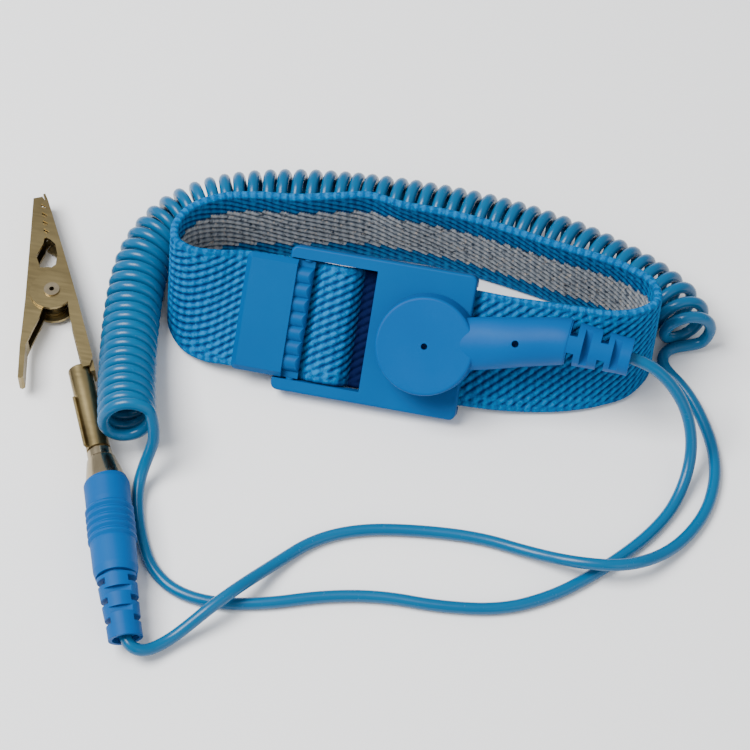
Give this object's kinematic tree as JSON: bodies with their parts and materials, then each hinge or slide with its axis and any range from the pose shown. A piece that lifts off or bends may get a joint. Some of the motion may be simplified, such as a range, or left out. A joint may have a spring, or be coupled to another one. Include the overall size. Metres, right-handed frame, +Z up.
{
  "type": "esd wrist strap",
  "caption": "Elastic anti-static wrist band in a flip-clamp buckle, with a snap cap, a curly cord, a banana plug and a spring clip.",
  "frame": {"origin": "centre of the wrist band's footprint on the surface it lies on", "axes": "+X along the buckle towards the cord's strain relief, -Y towards the buckle's face, +Z up"},
  "size_m": [0.1497, 0.1164, 0.0245],
  "materials": {
    "band_elastic": "woven elastic, diagonal ribs, soft matt",
    "band_lining": "silver-grey conductive yarn weave",
    "buckle_plastic": "moulded blue plastic, fine satin",
    "cap_plastic": "soft blue overmould, satin",
    "cord_jacket": "glossy blue polyurethane jacket",
    "plated_metal": "nickel-plated pressed steel, faintly warm",
    "bare_steel": "plain stainless steel",
    "spring_brass": "sprung brass",
    "resistor_coat": "resistor body lacquer"
  },
  "bodies": {
    "root": {"elastic_band": "band_elastic", "conductive_lining": "band_lining", "buckle_plate": "buckle_plastic", "snap_stud": "plated_metal", "contact_plate": "bare_steel", "stud_rivet": "bare_steel"},
    "clamp_lever": {"clamp_lever": "buckle_plastic"},
    "cord_set": {"snap_cap": "cap_plastic", "snap_socket": "plated_metal", "socket_spring": "spring_brass", "resistor": "resistor_coat", "resistor_leads": "bare_steel", "cap_crimp": "plated_metal", "cord_cap_lead": "cord_jacket", "cord_coil": "cord_jacket", "cord_plug_lead": "cord_jacket", "plug_body": "cap_plastic", "plug_collar": "plated_metal", "banana_pin": "plated_metal", "banana_spring": "spring_brass", "plug_crimp": "plated_metal"},
    "clip": {"clip_fixed_jaw": "plated_metal", "clip_rivet": "plated_metal", "clip_spring": "bare_steel"},
    "clip_jaw": {"clip_moving_jaw": "plated_metal"}
  },
  "joints": [
    {"name": "clamp_flip", "type": "hinge", "parent": "root", "child": "clamp_lever", "pos_m": [-0.0208, -0.00732, 0.01153], "axis": [0, 0.788, 0.6157], "range_deg": [0, 92]},
    {"name": "cap_unsnap", "type": "slide", "parent": "root", "child": "cord_set", "axis": [0, -0.6157, 0.788], "range_m": [0, 0.0035]},
    {"name": "clip_pull_off", "type": "slide", "parent": "cord_set", "child": "clip", "axis": [-0.4396, 0.8973, -0.0401], "range_m": [0, 0.021]},
    {"name": "jaw_open", "type": "hinge", "parent": "clip", "child": "clip_jaw", "pos_m": [-0.07234, -0.00758, 0.00393], "axis": [-0.0177, 0.036, 0.9992], "range_deg": [0, 25], "stiffness_Nm_per_rad": 0.02, "springref_deg": -17.19}
  ]
}
